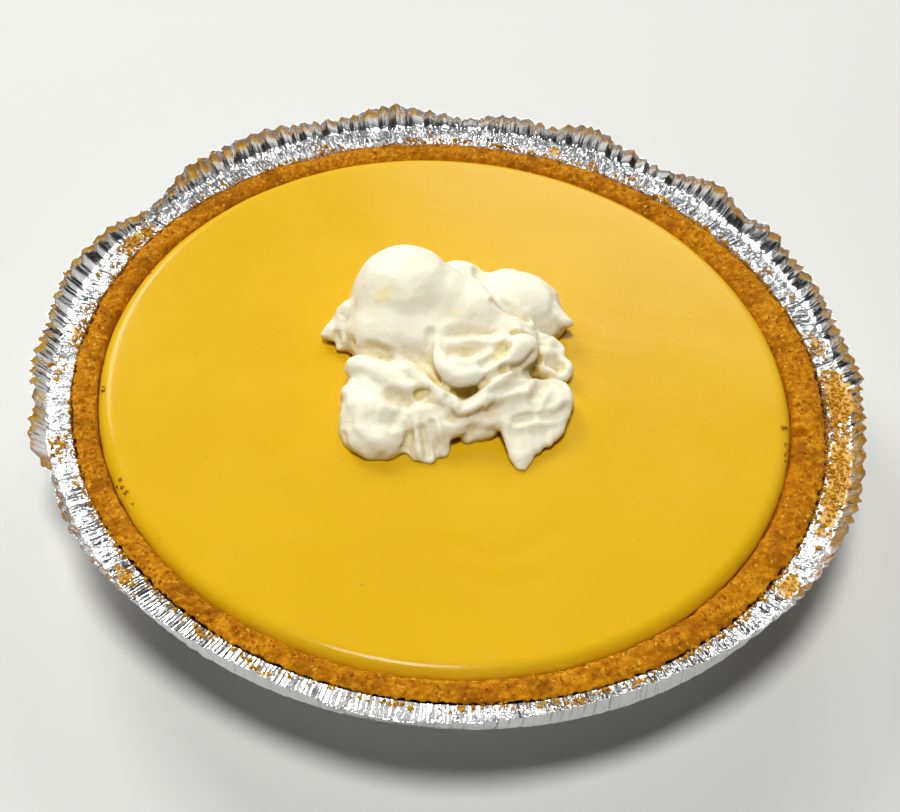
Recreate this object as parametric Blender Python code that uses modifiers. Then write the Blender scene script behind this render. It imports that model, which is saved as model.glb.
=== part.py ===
"""A key lime pie in its own pleated foil tin.

Four solids: the foil tin, the graham crust that lines it, the filling in the
crust and the dollop of whipped cream on top. Metres, +Z up. The origin is the
centre of the tin's base, the front of the pie looks towards -Y.
"""
import math

import bmesh
import bpy
from mathutils import Euler, Matrix, Vector, noise
from mathutils.bvhtree import BVHTree

MM = 0.001
GAP = 0.3 * MM                    # air between two pieces that touch

# Foil tin
FOIL = 0.45 * MM                  # thickness of the folded foil
BASE_RADIUS = 85.5 * MM           # flat of the base
WALL_FOOT = (88.0 * MM, 2.4 * MM)         # radius and height where the wall starts
WALL_TOP = (104.4 * MM, 29.3 * MM)        # inner edge of the flange
FLANGE = (110.3 * MM, 29.6 * MM)          # outer edge of the flange
OVAL = 0.7 * MM                   # the rim is this much wider along X, narrower along Y
RIM_RADIUS = 113.5 * MM           # mean radius of the standing band's edge
RIM_RISE = 5.0 * MM               # mean rise of the band above the flange
PLEATS = 150                      # pleats round the band
PLEAT_DEPTH = 0.5 * MM            # each pleat swings in and out by this much
CRIMP_DEPTH = 0.25 * MM           # the same for the finer crimps of the flange
RIM_SWELLS = (                    # angle and half width in degrees, reach and rise in mm
    (105.0, 4.5, 0.2, 2.5),
    (92.0, 4.0, -0.9, -1.4),
    (84.0, 3.5, -0.4, 1.2),
    (78.0, 1.8, -0.3, -1.0),
    (71.0, 3.5, 1.2, 2.8),
    (58.5, 2.5, -0.6, -1.3),
    (48.0, 3.8, 2.0, 2.5),
    (36.5, 3.0, 2.0, 1.5),
    (26.0, 6.0, 1.0, 0.6),
    (6.0, 3.0, 1.4, 0.0),
    (-18.0, 6.0, 0.6, 0.0),
    (-64.0, 20.0, -4.0, 0.6),
    (-96.0, 5.0, 0.0, -1.5),
    (-112.0, 18.0, -3.2, 0.3),
    (-152.0, 4.0, -1.2, -0.5),
    (-160.0, 3.5, 2.0, 0.0),
    (-173.5, 4.0, 1.6, 0.5),
    (168.0, 8.0, 2.2, 0.2),
    (149.5, 4.5, -2.4, -2.0),
    (139.0, 6.0, -1.0, 2.4),
    (127.0, 5.5, 0.5, 2.3),
    (113.0, 4.0, -0.1, -0.5),
)

# Graham crust
CRUST_FLOOR = 5.6 * MM            # thickness under the filling
CRUST_OUTER = 103.6 * MM          # outer radius at the top
CRUST_SHOULDER = 29.1 * MM        # height of its outer edge
CRUST_CREST = 30.2 * MM           # height of the ring's crown
CRUST_COLUMNS = 150
CRUST_CRUMBLE = 0.55 * MM         # unevenness of the crown
CRUST_NOTCHES = (                 # angle and half width in degrees, depth in mm
    (-4.0, 2.6, 1.5),
    (-149.0, 4.0, 1.3),
    (121.0, 3.0, 0.7),
    (38.0, 3.0, 0.8),
)

# Filling
FILLING_CENTRE = Vector((-1.5 * MM, -0.3 * MM, 0.0))  # a little off the tin's centre
FILLING_RADIUS = 96.2 * MM
FILLING_EDGE = 28.5 * MM          # height where it meets the crust
FILLING_TOP = 30.5 * MM           # level of its flat top
SHOULDER = 4.0 * MM               # width of the rounded shoulder
CAVITY_FOOT = 82.6 * MM           # radius of the filling at the crust's floor
FILLING_COLUMNS = 72

# Whipped cream
CREAM_PLACE = Vector((-1.5 * MM, 0.0, FILLING_TOP))
CREAM_VOXEL = 0.9 * MM
CREAM_TRIANGLES = 3800
SOFT_PASSES = 22                  # smoothing of the big lobes
FOLD_PASSES = 6                   # smoothing once the folds are on
FOLD_STEP = 0.8                   # spacing of the balls along a fold
SEAT_CUTTER = Vector((0.12, 0.12, 0.03))
# The tables are in millimetres and degrees from the cream's place. Soft lobes and
# flaps: centre, half widths, then turns about X, Y and Z.
CREAM_LOBES = {
    "heart": ((0, 1, 1), (24, 25, 11.5), (0, 0, 0)),
    "big_mound": ((-16, 20, 7), (15, 18.5, 16), (0, 0, 10)),
    "mound_front": ((-19, 9, 5), (12.5, 12.5, 12), (0, 0, 15)),
    "plateau": ((-3.5, 18, 6), (14, 15, 12.5), (0, 0, 0)),
    "saddle": ((0.5, 31, 4.5), (8.5, 7.5, 8.5), (0, 0, 0)),
    "shell": ((17, 25, 2.5), (16, 13.5, 11.5), (0, 6, -12)),
    "dish_mass": ((8, -2, 5), (13, 8.5, 9.5), (0, 0, 6)),
    "left_apron": ((-20.5, -15.5, 4), (9.5, 13, 10), (0, 0, 12)),
    "left_apron_foot": ((-18, -26, 2), (9.5, 9, 7.5), (0, 0, 12)),
    "right_heap": ((18, -9.5, 4), (12, 10, 8.5), (0, 0, 20)),
    "right_shoulder": ((27.7, -10.5, 3), (7, 9, 6.4), (0, 0, -10)),
    "front_heap": ((2, -15.5, 5), (11, 7.5, 6.5), (0, 0, -10)),
}
CREAM_FLAPS = {
    "tongue": ((25, -19.8, 3.8), (8.8, 7.4, 2.2), (-16, 6, -20)),
    "tongue_end": ((21.9, -25.7, 1.8), (3.9, 5.6, 1.6), (-6, 0, -6)),
    "curtain": ((-4.9, -23.8, 4.6), (6.2, 8.6, 3.4), (-30, 0, -4)),
    "shell_skirt": ((27.3, 20.1, 5.4), (7, 6, 2.2), (10, 22, -20)),
}
# Lumps that sit on the soft lobes: place in plan, half widths, turn about Z.
# Each is sunk by half its height.
CREAM_LUMPS = {
    "dish_left": ((3.8, -2.4), (7.6, 6.4, 5.2), 0),
    "dish_middle": ((10.7, -0.8), (7, 5.6, 4.8), 5),
    "dish_knob": ((18, 4.3), (5.6, 4.8, 4.6), 10),
    "centre_lump": ((7.3, -19.5), (4.6, 3.2, 2.8), -8),
    "left_lump": ((-0.8, -20.5), (4.4, 3.6, 2.8), -20),
    "apron_top": ((-17.9, -16), (8, 5.6, 4.6), -30),
    "heap_ridge": ((17.4, -12.6), (6.5, 3.6, 3), 28),
}
# Drawn-out tips and hanging folds: points with the fold's half thickness.
CREAM_TIPS = {
    "left_tip": ((-28, 12.2, 6, 5), (-31.6, 11.3, 5, 4), (-33.9, 9.5, 4.4, 3.2),
                 (-35.2, 7.8, 3.6, 1.8)),
    "left_tip_low": ((-27.5, 8.4, 4, 4), (-30.4, 6.6, 2.5, 2.8), (-31.2, 4.7, 1.2, 1.6)),
    "corner_tip": ((23.3, 22.5, 7, 5), (28.8, 20.1, 7, 3.2), (32.8, 18.5, 6.8, 1)),
    "right_fold_high": ((25.5, 10.4, 5.5, 5), (29.2, 12.1, 4.8, 2.8), (31.1, 10.9, 4.3, 1.8)),
    "right_fold_low": ((26.6, 5.5, 3.6, 4), (30.8, 5.6, 3.4, 2.2), (32.4, 3.2, 2, 1.7)),
    "curtain_left": ((-8.2, -23.7, 7, 2.8), (-7.7, -28, 4.8, 2.8), (-5, -31, 2, 2.3)),
    "curtain_right": ((-3.1, -20.8, 8, 2.8), (-1.3, -25.3, 5, 2.5), (0.4, -29.2, 2, 2.1)),
    "chin": ((-0.5, -21.5, 5, 2.8), (5, -21, 4, 3.2), (11.5, -21.3, 2.8, 2.6)),
    "tongue_side": ((16.7, -20.5, 5, 1.8), (17.9, -25.2, 4, 1.7), (20.3, -30.2, 2.4, 1.6),
                    (22.3, -31.7, 1.4, 1.5)),
    "tongue_rim": ((32.8, -13.4, 4.6, 2), (32.7, -18.3, 4.2, 1.6), (30.1, -24.2, 4, 1.4),
                   (25.1, -27.9, 3.6, 1.3)),
}
# Folds that lie along the skin: points in plan with the fold's half thickness.
CREAM_FOLDS = {
    "dish_lip": ((-4, 2, 1.5), (-3, -3.3, 1.9), (-0.2, -7.3, 2.1), (3.5, -8.5, 2.2),
                 (10.9, -6.2, 1.6)),
    "ripple": ((4.5, 9.9, 1.2), (14.2, 13.9, 1.7), (18.9, 13.3, 1.5)),
    "under_ridge": ((-11.7, -8.4, 2.4), (-6.7, -11.5, 2.2), (3.7, -19.4, 2.4)),
    "left_vee": ((-6.3, -5.9, 2.2), (-2, -11.3, 1.7), (2.3, -17.5, 1.6)),
    "right_vee": ((18, -8.7, 2.4), (12.3, -11.6, 2), (5.6, -18.7, 1.6)),
    "apron_shelf": ((-24, -14, 2.4), (-18.3, -16.1, 2.4), (-13, -16.1, 2.6), (-7.9, -17.9, 1.8)),
    "shell_ridge": ((7.2, 28.9, 1.1), (10.2, 21.7, 1.3), (21.3, 18.2, 0.8)),
}


def smooth_step(value):
    """0 below 0, 1 above 1, and an even S between."""
    value = min(max(value, 0.0), 1.0)
    return value * value * (3.0 - 2.0 * value)


def bump(angle, centre, half_width):
    """1 at the centre angle, falling to 0 two half widths away. Degrees."""
    away = abs((angle - centre + 180.0) % 360.0 - 180.0)
    return 1.0 - smooth_step(away / (2.0 * half_width))


def new_object(name, mesh, collection, material):
    obj = bpy.data.objects.new(name, mesh)
    mesh.materials.append(material)
    collection.objects.link(obj)
    return obj


def new_material(name, colour, roughness, metallic=0.0):
    material = bpy.data.materials.new(name)
    material.use_nodes = True
    shader = material.node_tree.nodes["Principled BSDF"]
    shader.inputs["Base Color"].default_value = (*colour, 1.0)
    shader.inputs["Roughness"].default_value = roughness
    shader.inputs["Metallic"].default_value = metallic
    material.diffuse_color = (*colour, 1.0)
    return material


def turned_mesh(name, profile, columns, shape):
    """Spin a profile of (radius, height) points round Z, then move each point by
    shape(index, column, point), where index is its place in the profile."""
    bm = bmesh.new()
    layer = bm.verts.layers.int.new("place")
    points = [bm.verts.new((radius, 0.0, height)) for radius, height in profile]
    for index, point in enumerate(points):
        point[layer] = index
    edges = [bm.edges.new(pair) for pair in zip(points, points[1:])]
    bmesh.ops.spin(bm, geom=points + edges, cent=(0, 0, 0), axis=(0, 0, 1),
                   angle=math.tau, steps=columns, use_merge=True)
    bmesh.ops.remove_doubles(bm, verts=bm.verts, dist=0.01 * MM)
    bmesh.ops.recalc_face_normals(bm, faces=bm.faces)
    for point in bm.verts:
        turn = math.atan2(point.co.y, point.co.x) % math.tau
        column = round(turn / math.tau * columns) % columns
        point.co = shape(point[layer], column, point.co.copy())
    mesh = bpy.data.meshes.new(name)
    bm.to_mesh(mesh)
    bm.free()
    mesh.set_sharp_from_angle(angle=math.radians(40))
    return mesh


def applied(obj):
    """Replace an object's mesh by the one its modifiers make."""
    depsgraph = bpy.context.evaluated_depsgraph_get()
    mesh = bpy.data.meshes.new_from_object(obj.evaluated_get(depsgraph), depsgraph=depsgraph)
    obj.modifiers.clear()
    old = obj.data
    obj.data = mesh
    bpy.data.meshes.remove(old)
    return obj


def oval(angle):
    """How far the oval rim stands out from a circle at an angle in degrees."""
    return OVAL * math.cos(2.0 * math.radians(angle))


def rim_edge(angle):
    """Radius and height of the standing band's edge at an angle in degrees."""
    reach = sum(swell[2] * bump(angle, swell[0], swell[1]) for swell in RIM_SWELLS)
    rise = sum(swell[3] * bump(angle, swell[0], swell[1]) for swell in RIM_SWELLS)
    return RIM_RADIUS + reach * MM, FLANGE[1] + RIM_RISE + rise * MM


def build_tin(collection):
    """The foil: flat base, sloped wall, narrow flange and a pleated standing band."""
    profile = ((0.0, FOIL), (BASE_RADIUS, FOIL), WALL_FOOT, WALL_TOP, FLANGE,
               (RIM_RADIUS, FLANGE[1] + RIM_RISE))
    wall_top, flange, edge = 3, 4, 5
    columns = 2 * PLEATS

    def pleat(index, column, point):
        if index < wall_top:
            return point
        angle = 360.0 * column / columns
        outward = Vector((point.x, point.y, 0.0)).normalized()
        swing = 1.0 if column % 2 else -1.0
        swing *= 0.7 + 0.7 * noise.noise(Vector((column * 0.37, index * 5.0, 2.0)))
        if index == wall_top:
            return point + outward * (oval(angle) + CRIMP_DEPTH * swing)
        if index == flange:
            return point + outward * (0.5 * oval(angle)) + Vector((0.0, 0.0, CRIMP_DEPTH * swing))
        radius, height = rim_edge(angle)
        ragged = PLEAT_DEPTH * noise.noise(Vector((column * 0.61, 3.0, 7.0)))
        across = Vector((outward.x, outward.y, -0.6)).normalized()
        return outward * radius + Vector((0, 0, height + ragged)) + across * (PLEAT_DEPTH * swing)

    mesh = turned_mesh("foil_tin", profile, columns, pleat)
    tin = new_object("foil_tin", mesh, collection,
                     new_material("foil", (0.78, 0.78, 0.77), 0.28, 1.0))
    wall = tin.modifiers.new("foil_thickness", "SOLIDIFY")
    wall.thickness = FOIL
    wall.offset = 1.0
    wall.use_even_offset = True
    return tin


def wall_radius(height):
    """Inner radius of the foil's wall at a height."""
    share = (height - WALL_FOOT[1]) / (WALL_TOP[1] - WALL_FOOT[1])
    return WALL_FOOT[0] + share * (WALL_TOP[0] - WALL_FOOT[0])


def build_crust(collection):
    """A thick crumb lining with a rounded, crumbly crown, hollow where the filling sits."""
    floor = FOIL + GAP
    foot_height = floor + 2.2 * MM
    outer = (
        (0.0, floor),
        (BASE_RADIUS - 0.8 * MM, floor),
        (wall_radius(foot_height) - 0.6 * MM, foot_height),
        (CRUST_OUTER, CRUST_SHOULDER),
    )
    crown = (
        (CRUST_OUTER - 1.2 * MM, CRUST_CREST - 0.4 * MM),
        (0.5 * (CRUST_OUTER + FILLING_RADIUS), CRUST_CREST),
        (FILLING_RADIUS + 1.2 * MM, CRUST_CREST - 0.7 * MM),
    )
    cavity = (
        (FILLING_RADIUS + GAP, FILLING_EDGE),
        (CAVITY_FOOT + GAP, floor + CRUST_FLOOR),
        (0.0, floor + CRUST_FLOOR),
    )
    profile = outer + crown + cavity
    crown_start = len(outer)
    cavity_start = crown_start + len(crown)

    def crumble(index, column, point):
        angle = 360.0 * column / CRUST_COLUMNS
        outward = Vector((point.x, point.y, 0.0)).normalized() if index else Vector()
        if index >= cavity_start:
            return point + FILLING_CENTRE
        if index < crown_start - 1:
            return point
        grain = noise.noise(Vector((column * 0.83, index * 3.1, 1.0)))
        notch = sum(dent[2] * bump(angle, dent[0], dent[1]) for dent in CRUST_NOTCHES) * MM
        if index == crown_start - 1:
            inward = 0.6 * CRUST_CRUMBLE * (0.5 + grain) + 0.3 * notch
            return point + outward * (oval(angle) - inward)
        moved = point + outward * oval(angle) + Vector((0, 0, CRUST_CRUMBLE * grain - notch))
        if index == cavity_start - 1:
            crumbled = outward * (CRUST_CRUMBLE * (1.0 + grain))
            return point + FILLING_CENTRE + crumbled - Vector((0, 0, notch))
        return moved

    mesh = turned_mesh("graham_crust", profile, CRUST_COLUMNS, crumble)
    return new_object("graham_crust", mesh, collection,
                      new_material("baked_crumb", (0.48, 0.22, 0.035), 0.85))


def build_filling(collection):
    """The set filling: a flat top with a rounded shoulder, sunk in the crust's hollow."""
    floor = FOIL + GAP + CRUST_FLOOR + GAP
    shoulder_steps = 4
    shoulder = []
    for step in range(shoulder_steps + 1):
        turn = 0.5 * math.pi * step / shoulder_steps
        radius = FILLING_RADIUS - SHOULDER * (1.0 - math.cos(turn))
        height = FILLING_EDGE + (FILLING_TOP - FILLING_EDGE) * math.sin(turn)
        shoulder.append((radius, height))
    profile = [(0.0, floor), (CAVITY_FOOT, floor), *shoulder, (0.0, FILLING_TOP)]

    def settle(index, column, point):
        return point + FILLING_CENTRE

    mesh = turned_mesh("lime_filling", profile, FILLING_COLUMNS, settle)
    return new_object("lime_filling", mesh, collection,
                      new_material("lime_custard", (0.83, 0.5, 0.03), 0.35))


def place_lobe(bm, centre, half_widths, turns):
    """One soft lobe: a ball stretched to its half widths, turned and set down."""
    turn = Euler([math.radians(angle) for angle in turns]).to_matrix().to_4x4()
    size = Matrix.Diagonal((*[width * MM for width in half_widths], 1.0))
    place = Matrix.Translation(Vector(centre) * MM)
    bmesh.ops.create_icosphere(bm, subdivisions=4, radius=1.0, matrix=place @ turn @ size)


def place_fold(bm, path):
    """A narrow fold: a string of close balls along a path of (x, y, z, radius)."""
    for start, end in zip(path, path[1:]):
        length = (Vector(end[:3]) - Vector(start[:3])).length
        steps = max(2, math.ceil(length / FOLD_STEP))
        for step in range(steps + 1):
            x, y, z, radius = (a + (b - a) * step / steps for a, b in zip(start, end))
            bmesh.ops.create_icosphere(bm, subdivisions=2, radius=radius * MM,
                                       matrix=Matrix.Translation(Vector((x, y, z)) * MM))


def fused(bm, name, iterations):
    """Melt everything in a bmesh into one soft skin and return it as a mesh."""
    mesh = bpy.data.meshes.new(name)
    bm.to_mesh(mesh)
    bm.free()
    obj = bpy.data.objects.new(name, mesh)
    bpy.context.scene.collection.objects.link(obj)
    skin = obj.modifiers.new("one_skin", "REMESH")
    skin.mode = "VOXEL"
    skin.voxel_size = CREAM_VOXEL
    soften = obj.modifiers.new("soften", "SMOOTH")
    soften.factor = 0.5
    soften.iterations = iterations
    applied(obj)
    mesh = obj.data
    bpy.data.objects.remove(obj)
    return mesh


def cream_skin():
    """Soft lobes first, then the lumps, flaps, tips and folds that keep more edge."""
    soft = bmesh.new()
    for lobe in CREAM_LOBES.values():
        place_lobe(soft, *lobe)
    body = fused(soft, "cream_body", SOFT_PASSES)

    bm = bmesh.new()
    bm.from_mesh(body)
    bpy.data.meshes.remove(body)
    skin = BVHTree.FromBMesh(bm)

    def height(x, y):
        hit = skin.ray_cast(Vector((x * MM, y * MM, 0.1)), Vector((0.0, 0.0, -1.0)))[0]
        return hit.z / MM if hit else 0.0

    for flap in CREAM_FLAPS.values():
        place_lobe(bm, *flap)
    for (x, y), half_widths, turn in CREAM_LUMPS.values():
        place_lobe(bm, (x, y, height(x, y) - 0.5 * half_widths[2]), half_widths, (0, 0, turn))
    for path in CREAM_TIPS.values():
        place_fold(bm, path)
    for path in CREAM_FOLDS.values():
        place_fold(bm, [(x, y, height(x, y), radius) for x, y, radius in path])
    return fused(bm, "whipped_cream", FOLD_PASSES)


def build_cream(collection, cutters):
    """Whipped cream: lobes and folds fused into one skin, cut flat where it sits."""
    mesh = cream_skin()
    mesh.transform(Matrix.Translation(CREAM_PLACE))
    for face in mesh.polygons:
        face.use_smooth = True
    cream = new_object("whipped_cream", mesh, collection,
                       new_material("cream", (0.93, 0.89, 0.76), 0.5))

    below = bmesh.new()
    place = Matrix.Translation(CREAM_PLACE + Vector((0, 0, GAP - 0.5 * SEAT_CUTTER.z)))
    bmesh.ops.create_cube(below, size=1.0, matrix=place @ Matrix.Diagonal((*SEAT_CUTTER, 1.0)))
    cutter_mesh = bpy.data.meshes.new("cream_seat")
    below.to_mesh(cutter_mesh)
    below.free()
    cutter = bpy.data.objects.new("cream_seat", cutter_mesh)
    cutters.objects.link(cutter)
    cutter.hide_render = True
    cutter.display_type = "WIRE"

    thin = cream.modifiers.new("fewer_faces", "DECIMATE")
    thin.ratio = CREAM_TRIANGLES / (2.0 * len(mesh.polygons))
    seat_cut = cream.modifiers.new("flat_seat", "BOOLEAN")
    seat_cut.operation = "DIFFERENCE"
    seat_cut.object = cutter
    return cream


def new_collection(name):
    collection = bpy.data.collections.new(name)
    bpy.context.scene.collection.children.link(collection)
    return collection


def main():
    for obj in list(bpy.data.objects):
        bpy.data.objects.remove(obj, do_unlink=True)
    pie = new_collection("key_lime_pie")
    cutters = new_collection("cutters")
    build_tin(pie)
    build_crust(pie)
    build_filling(pie)
    build_cream(pie, cutters)
    bpy.context.view_layer.update()


main()
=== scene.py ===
# %% [markdown]
# # A key lime pie in its own foil tin
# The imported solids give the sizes. Every piece is made again here with the detail
# that the solids leave out: fine pleats, crumb, a satin filling and whipped cream.

import math
import random

import bmesh
import bpy
import numpy as np
from mathutils import Euler, Matrix, Quaternion, Vector, noise
from mathutils.bvhtree import BVHTree


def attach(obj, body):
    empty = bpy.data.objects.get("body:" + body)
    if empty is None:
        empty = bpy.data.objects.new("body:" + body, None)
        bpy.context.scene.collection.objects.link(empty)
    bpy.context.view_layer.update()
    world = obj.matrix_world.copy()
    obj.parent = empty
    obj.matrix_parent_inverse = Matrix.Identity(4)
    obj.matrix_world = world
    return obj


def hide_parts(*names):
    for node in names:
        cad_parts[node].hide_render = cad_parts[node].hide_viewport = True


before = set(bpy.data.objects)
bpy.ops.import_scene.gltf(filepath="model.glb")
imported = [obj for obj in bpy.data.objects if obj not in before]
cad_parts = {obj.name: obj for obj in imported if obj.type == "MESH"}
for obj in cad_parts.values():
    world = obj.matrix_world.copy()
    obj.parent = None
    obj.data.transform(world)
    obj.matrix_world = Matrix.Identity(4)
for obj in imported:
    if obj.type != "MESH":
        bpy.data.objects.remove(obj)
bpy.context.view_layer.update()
MM = 0.001
DOWN = Vector((0.0, 0.0, -1.0))
print("nodes:", sorted(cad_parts))

# %% [markdown]
# ## Helpers for round pieces
# A pie tin, a crust and a filling are all turned shapes. The spin operator could carry
# a profile round Z, but with over a thousand steps it gets slow. So each starts as a
# flat grid with one row for each point of the profile and one column for each step.
# The grid is rolled up, and pleats or crumbs are pressed in on the way, since the row
# and the column say where on the piece a vertex is. Then its seam and poles are merged.

# %% Helpers for round pieces
def smooth_step(value):
    """0 below 0, 1 above 1, and an even S between."""
    value = min(max(value, 0.0), 1.0)
    return value * value * (3.0 - 2.0 * value)


def bump(angle, centre, half_width):
    """1 at the centre angle, falling to 0 two half widths away. Degrees."""
    away = abs((angle - centre + 180.0) % 360.0 - 180.0)
    return 1.0 - smooth_step(away / (2.0 * half_width))


def rolled(profile, columns, shape):
    """A grid rolled round Z along a profile, each vertex moved by shape(row, column, place)."""
    bm = bmesh.new()
    bmesh.ops.create_grid(bm, x_segments=columns, y_segments=len(profile) - 1, size=1.0)
    for index, point in enumerate(bm.verts):
        row, column = divmod(index, columns + 1)
        column %= columns
        turn = math.tau * column / columns
        radius, height = profile[row]
        place = Vector((radius * math.cos(turn), radius * math.sin(turn), height))
        point.co = shape(row, column, place)
    bmesh.ops.remove_doubles(bm, verts=bm.verts, dist=0.001 * MM)
    bmesh.ops.recalc_face_normals(bm, faces=bm.faces)
    return bm


def gathered(batches):
    """Join small bmeshes into one, because an operator is slow on a big bmesh."""
    whole = bmesh.new()
    for small in batches:
        mesh = bpy.data.meshes.new("batch")
        small.to_mesh(mesh)
        small.free()
        whole.from_mesh(mesh)
        bpy.data.meshes.remove(mesh)
    return whole


def piece(name, bm, node=None, sharp=None):
    """Turn a bmesh into a smooth-shaded piece of the pie that rides on the root body."""
    mesh = bpy.data.meshes.new(name)
    bm.to_mesh(mesh)
    bm.free()
    mesh.shade_smooth()
    if sharp:
        mesh.set_sharp_from_angle(angle=math.radians(sharp))
    obj = bpy.data.objects.new(name, mesh)
    bpy.context.scene.collection.objects.link(obj)
    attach(obj, "root")
    if node:
        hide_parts(node)
    print(name, len(mesh.vertices), "vertices", len(mesh.polygons), "faces")
    return obj


def grain(place, size, seed=0.0):
    """Smooth noise from -1 to 1 whose lumps are about size across, in metres."""
    return noise.noise(place / size + Vector((seed, 1.7 * seed, 0.3 * seed)))


def crumb_relief(place, size, seed=0.0):
    """1 at the middle of a crumb and 0 or less in the cracks between crumbs."""
    spots = noise.voronoi(place / size + Vector((seed, 0.0, 2.0 * seed)))[0]
    return 1.0 - 1.6 * spots[0]


# %% [markdown]
# ## Helpers for finishes
# A finish is a small tree of shader nodes. These helpers keep each tree short: one
# adds a node with its settings, and one mixes two colours by a factor. Every pattern
# reads Object coordinates, in metres, so its scale is the real one.

# %% Helpers for finishes
def new_finish(name):
    """A new material, its node tree and its main shader."""
    material = bpy.data.materials.new(name)
    material.use_nodes = True
    return material, material.node_tree, material.node_tree.nodes["Principled BSDF"]


def add(tree, kind, inputs=(), **settings):
    """Add a node, set its properties, and set or link its inputs by name."""
    node = tree.nodes.new("ShaderNode" + kind)
    for name, value in settings.items():
        setattr(node, name, value)
    for name, value in dict(inputs).items():
        if isinstance(value, bpy.types.NodeSocket):
            tree.links.new(value, node.inputs[name])
        else:
            node.inputs[name].default_value = value
    return node


def place_of(tree):
    """Object coordinates: metres from the middle of the tin's base."""
    return add(tree, "TexCoord").outputs["Object"]


def grain_of(tree, place, scale, detail=3.0, roughness=0.55, distortion=0.0):
    """A noise texture with lumps of about 1/scale metres."""
    return add(tree, "TexNoise", {"Vector": place, "Scale": scale, "Detail": detail,
                                  "Roughness": roughness, "Distortion": distortion}).outputs["Fac"]


def span(tree, value, low, high, to_low=0.0, to_high=1.0):
    """Stretch a value's range low to high over to_low to to_high, clamped."""
    return add(tree, "MapRange", {"Value": value, "From Min": low, "From Max": high,
                                  "To Min": to_low, "To Max": to_high}).outputs["Result"]


def blend_colour(tree, factor, first, second):
    """The first colour where the factor is 0 and the second where it is 1."""
    node = tree.nodes.new("ShaderNodeMix")
    node.data_type = "RGBA"
    tree.links.new(factor, node.inputs[0])
    for socket, colour in ((node.inputs[6], first), (node.inputs[7], second)):
        if isinstance(colour, bpy.types.NodeSocket):
            tree.links.new(colour, socket)
        else:
            socket.default_value = (*colour, 1.0)
    return node.outputs[2]


def math_of(tree, kind, first, second):
    node = tree.nodes.new("ShaderNodeMath")
    node.operation = kind
    for socket, value in zip(node.inputs, (first, second)):
        if isinstance(value, bpy.types.NodeSocket):
            tree.links.new(value, socket)
        else:
            socket.default_value = value
    return node.outputs[0]


def relief(tree, height, distance, strength=1.0, under=None):
    """Bump from a height value; under is the normal of a coarser bump below it."""
    inputs = {"Height": height, "Distance": distance, "Strength": strength}
    if under is not None:
        inputs["Normal"] = under
    return add(tree, "Bump", inputs).outputs["Normal"]


def attribute(tree, name):
    """A number that a piece stores at each vertex."""
    return add(tree, "Attribute", attribute_name=name).outputs["Fac"]


# %% [markdown]
# ## The foil tin's sizes
# A thin tin is pressed from flat foil, so its wall and its rim gather in pleats. The
# flange carries fine crimps; the band that stands up from it has wider folds, and at
# the back it is pushed up into uneven scallops. A cloth simulation could crumple a
# disc, but the folds would fall anywhere. A table puts each bend of the rim where it
# belongs: its angle, counted anticlockwise from the right of the pie, and its half
# width in degrees, then how far it goes out and up in millimetres.

# %% The foil tin's sizes
FOIL = 0.12 * MM
BASE_RADIUS = 85.5 * MM
WALL_FOOT = (88.0 * MM, 2.4 * MM)
WALL_TOP = (104.4 * MM, 29.3 * MM)
FLANGE = (110.3 * MM, 29.6 * MM)
OVAL = 0.7 * MM
RIM_RADIUS = 113.5 * MM
RIM_RISE = 5.0 * MM
RIM_SWELLS = (
    (105.0, 4.5, 0.2, 2.5), (92.0, 4.0, -0.9, -1.4), (84.0, 3.5, -0.4, 1.2),
    (78.0, 1.8, -0.3, -1.0), (71.0, 3.5, 1.2, 2.8), (58.5, 2.5, -0.6, -1.3),
    (48.0, 3.8, 2.0, 2.5), (36.5, 3.0, 2.0, 1.5), (26.0, 6.0, 1.0, 0.6),
    (6.0, 3.0, 1.4, 0.0), (-18.0, 6.0, 0.6, 0.0), (-64.0, 20.0, -4.0, 0.6),
    (-96.0, 5.0, 0.0, -1.5), (-112.0, 18.0, -3.2, 0.3), (-152.0, 4.0, -1.2, -0.5),
    (-160.0, 3.5, 2.0, 0.0), (-173.5, 4.0, 1.6, 0.5), (168.0, 8.0, 2.2, 0.2),
    (149.5, 4.5, -2.4, -2.0), (139.0, 6.0, -1.0, 2.4), (127.0, 5.5, 0.5, 2.3),
    (113.0, 4.0, -0.1, -0.5),
)
PLEATS = 165
PLEAT_COLUMNS = 12
TIN_COLUMNS = PLEATS * PLEAT_COLUMNS


def oval(angle):
    return OVAL * math.cos(2.0 * math.radians(angle))


def rim_edge(angle):
    """Radius and height of the standing band's edge at an angle in degrees."""
    reach = sum(swell[2] * bump(angle, swell[0], swell[1]) for swell in RIM_SWELLS)
    rise = sum(swell[3] * bump(angle, swell[0], swell[1]) for swell in RIM_SWELLS)
    return RIM_RADIUS + reach * MM, FLANGE[1] + RIM_RISE + rise * MM


def pleat_places(seed):
    """The angle at which each pleat starts: uneven steps that close the circle."""
    draw = random.Random(seed)
    widths = [draw.uniform(0.55, 1.45) for _ in range(PLEATS)]
    scale = 360.0 / sum(widths)
    places = [0.0]
    for width in widths:
        places.append(places[-1] + width * scale)
    return places


PLEAT_SEED, DEPTH_SEED = 7, 11
pleat_start = pleat_places(PLEAT_SEED)
draw = random.Random(DEPTH_SEED)
pleat_depth = [draw.uniform(0.5, 1.3) for _ in range(PLEATS)]
pleat_ragged = [draw.uniform(-1.0, 1.0) for _ in range(PLEATS)]
crimp_depth = [draw.uniform(-1.0, 1.0) for _ in range(TIN_COLUMNS)]
print(PLEATS, "pleats of", round(360.0 / PLEATS, 2), "degrees on average")

# %% [markdown]
# ## The foil tin
# The profile runs from the base up the wall, across the flange and up the band, with
# extra rows where the foil is crimped. Each column is moved to its own pleat's angle,
# and the folds are pressed in: a saw-tooth at the front, where the band's panels
# overlap like shingles, and open zigzag folds at the sides and back. The band is nearly
# straight at the front and bowed at the back, where its steep top mirrors the filling.
# Solidify then gives the sheet its thickness.

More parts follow.
